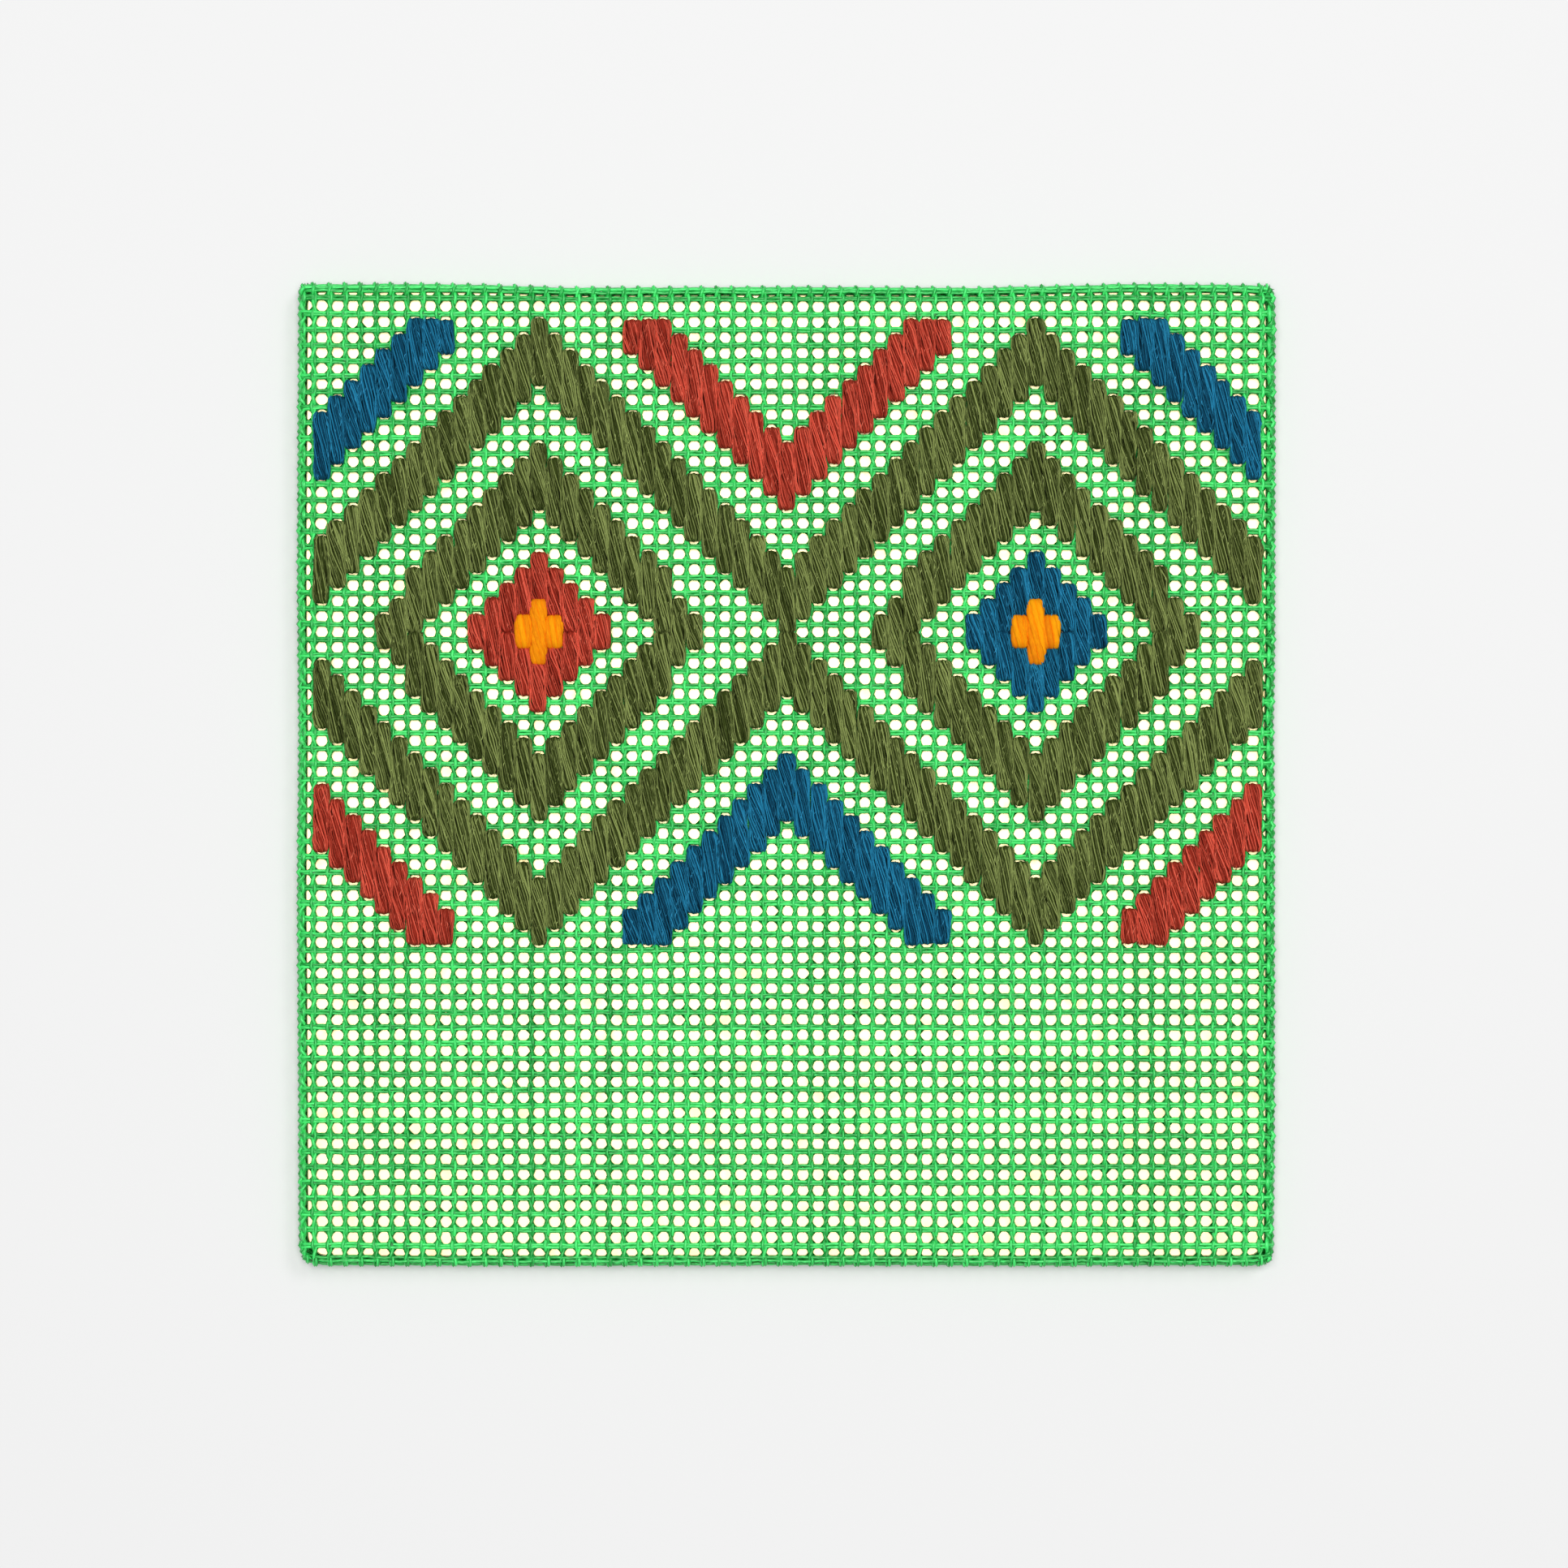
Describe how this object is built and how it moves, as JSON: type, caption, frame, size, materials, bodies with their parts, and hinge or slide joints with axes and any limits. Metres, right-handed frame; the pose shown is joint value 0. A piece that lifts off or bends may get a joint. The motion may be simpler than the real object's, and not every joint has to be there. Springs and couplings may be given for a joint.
{
  "type": "embroidered canvas panel",
  "caption": "Thin square panel of open needlework canvas stretched over a board and worked in raised bands and lozenges of wool satin stitch, with a bare lower part.",
  "frame": {"origin": "under the middle of the panel, on the surface that it lies on", "axes": "+Z out of the worked face, +Y to the panel's top edge, +X to its right edge as seen from the face"},
  "size_m": [0.16, 0.1606, 0.0073],
  "materials": {
    "canvas": "bright green stiffened cotton interlock canvas, open mesh",
    "board": "satin pale gold face on thick card",
    "olive_wool": "soft tapestry wool in satin stitch",
    "blue_wool": "soft tapestry wool in satin stitch",
    "red_wool": "soft tapestry wool in satin stitch",
    "orange_wool": "soft thick smooth wool in satin stitch"
  },
  "bodies": {
    "root": {"board": "board", "canvas": "canvas", "left_eye": "orange_wool", "left_heart_lower": "red_wool", "left_heart_upper": "red_wool", "left_ring_lower_left": "olive_wool", "left_ring_lower_right": "olive_wool", "left_ring_upper_left": "olive_wool", "left_ring_upper_right": "olive_wool", "lower_corner_left": "red_wool", "lower_corner_right": "red_wool", "lower_vee": "blue_wool", "right_eye": "orange_wool", "right_heart_lower": "blue_wool", "right_heart_upper": "blue_wool", "right_ring_lower_left": "olive_wool", "right_ring_lower_right": "olive_wool", "right_ring_upper_left": "olive_wool", "right_ring_upper_right": "olive_wool", "upper_corner_left": "blue_wool", "upper_corner_right": "blue_wool", "upper_vee": "red_wool", "zigzag_lower_1": "olive_wool", "zigzag_lower_2": "olive_wool", "zigzag_lower_3": "olive_wool", "zigzag_lower_4": "olive_wool", "zigzag_upper_1": "olive_wool", "zigzag_upper_2": "olive_wool", "zigzag_upper_3": "olive_wool", "zigzag_upper_4": "olive_wool"}
  },
  "joints": []
}
